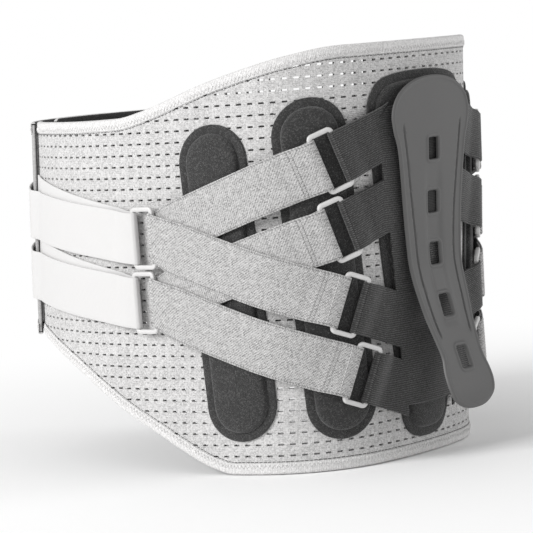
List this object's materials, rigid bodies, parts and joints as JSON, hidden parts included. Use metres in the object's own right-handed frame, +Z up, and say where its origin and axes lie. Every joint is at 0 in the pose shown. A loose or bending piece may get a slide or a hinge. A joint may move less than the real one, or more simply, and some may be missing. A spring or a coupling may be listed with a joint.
{
  "type": "lumbar support belt",
  "caption": "Closed lumbar support belt: perforated panels, stay pads, a rigid back plate, and elastic V straps with pull rings on each side.",
  "frame": {"origin": "middle of the bounding box, on the floor that the belt's lower edge stands on", "axes": "+Z up, +Y towards the wearer's front, -X the wearer's left"},
  "size_m": [0.2672, 0.3722, 0.29],
  "materials": {
    "black_foam": "moulded foam under cloth",
    "black_webbing": "ribbed twill",
    "dark_lining": "matte knit",
    "dark_tape": "tape",
    "edge_tape": "folded tape, zigzag stitched",
    "elastic_webbing": "diagonal weave",
    "front_fabric": "smooth laminate",
    "hook_tape": "hook pile",
    "loop_cloth": "brushed loop",
    "mesh_fabric": "knitted, perforated",
    "plate_plastic": "semi-matte moulded",
    "spring_steel": "satin",
    "white_plastic": "moulded",
    "white_webbing": "smooth"
  },
  "bodies": {
    "back": {"anchor_ring_1_left": "white_plastic", "anchor_ring_1_right": "white_plastic", "anchor_ring_2_left": "white_plastic", "anchor_ring_2_right": "white_plastic", "anchor_ring_3_left": "white_plastic", "anchor_ring_3_right": "white_plastic", "anchor_ring_4_left": "white_plastic", "anchor_ring_4_right": "white_plastic", "back_binding_bottom": "edge_tape", "back_binding_top": "edge_tape", "back_lining": "dark_lining", "back_panel": "mesh_fabric", "centre_pad": "black_foam", "comb_panel": "black_webbing", "lumbar_plate": "plate_plastic", "pad_inner_left": "black_foam", "pad_inner_right": "black_foam", "pad_outer_left": "black_foam", "pad_outer_right": "black_foam", "plate_hook_pad": "hook_tape", "stay_inner_left": "spring_steel", "stay_inner_right": "spring_steel", "stay_outer_left": "spring_steel", "stay_outer_right": "spring_steel"},
    "wing_left": {"elastic_lower_left": "elastic_webbing", "elastic_upper_left": "elastic_webbing", "front_binding_left": "edge_tape", "front_hook_pad": "hook_tape", "front_panel_left": "front_fabric", "loop_patch_left": "loop_cloth", "pull_ring_lower_left": "white_plastic", "pull_ring_upper_left": "white_plastic", "seam_tape_left": "dark_tape", "side_binding_bottom_left": "edge_tape", "side_binding_top_left": "edge_tape", "side_lining_left": "dark_lining", "side_panel_left": "mesh_fabric"},
    "wing_right": {"elastic_lower_right": "elastic_webbing", "elastic_upper_right": "elastic_webbing", "front_binding_right": "edge_tape", "front_panel_right": "front_fabric", "loop_patch_right": "loop_cloth", "pull_ring_lower_right": "white_plastic", "pull_ring_upper_right": "white_plastic", "seam_tape_right": "dark_tape", "side_binding_bottom_right": "edge_tape", "side_binding_top_right": "edge_tape", "side_lining_right": "dark_lining", "side_panel_right": "mesh_fabric"},
    "strap_lower_left": {"pull_strap_lower_left": "white_webbing", "strap_hook_lower_left": "hook_tape"},
    "strap_lower_right": {"pull_strap_lower_right": "white_webbing", "strap_hook_lower_right": "hook_tape"},
    "strap_upper_left": {"pull_strap_upper_left": "white_webbing", "strap_hook_upper_left": "hook_tape"},
    "strap_upper_right": {"pull_strap_upper_right": "white_webbing", "strap_hook_upper_right": "hook_tape"}
  },
  "joints": [
    {"name": "wing_left_open", "type": "hinge", "parent": "back", "child": "wing_left", "pos_m": [-0.12346, -0.01888, 0.14], "axis": [0, -0.0649, 0.9979], "range_deg": [0, 70], "deforming": ["elastic_upper_left", "elastic_lower_left"]},
    {"name": "strap_upper_left_peel", "type": "hinge", "parent": "wing_left", "child": "strap_upper_left", "pos_m": [-0.13019, 0.0034, 0.1665], "axis": [-0.0037, -0.0002, 1], "range_deg": [0, 55]},
    {"name": "strap_lower_left_peel", "type": "hinge", "parent": "wing_left", "child": "strap_lower_left", "pos_m": [-0.13019, 0.00632, 0.1215], "axis": [-0.0037, -0.0002, 1], "range_deg": [0, 55]},
    {"name": "wing_right_open", "type": "hinge", "parent": "back", "child": "wing_right", "pos_m": [0.12346, -0.01888, 0.14], "axis": [0, -0.0649, 0.9979], "range_deg": [-49, 0], "deforming": ["elastic_upper_right", "elastic_lower_right"]},
    {"name": "strap_upper_right_peel", "type": "hinge", "parent": "wing_right", "child": "strap_upper_right", "pos_m": [0.13019, 0.0034, 0.1665], "axis": [0.0037, -0.0002, 1], "range_deg": [-55, 0]},
    {"name": "strap_lower_right_peel", "type": "hinge", "parent": "wing_right", "child": "strap_lower_right", "pos_m": [0.13019, 0.00632, 0.1215], "axis": [0.0037, -0.0002, 1], "range_deg": [-55, 0]}
  ],
  "couplings": [
    {"joint": "wing_right_open", "follows": "wing_left_open", "ratio": -0.7}
  ]
}
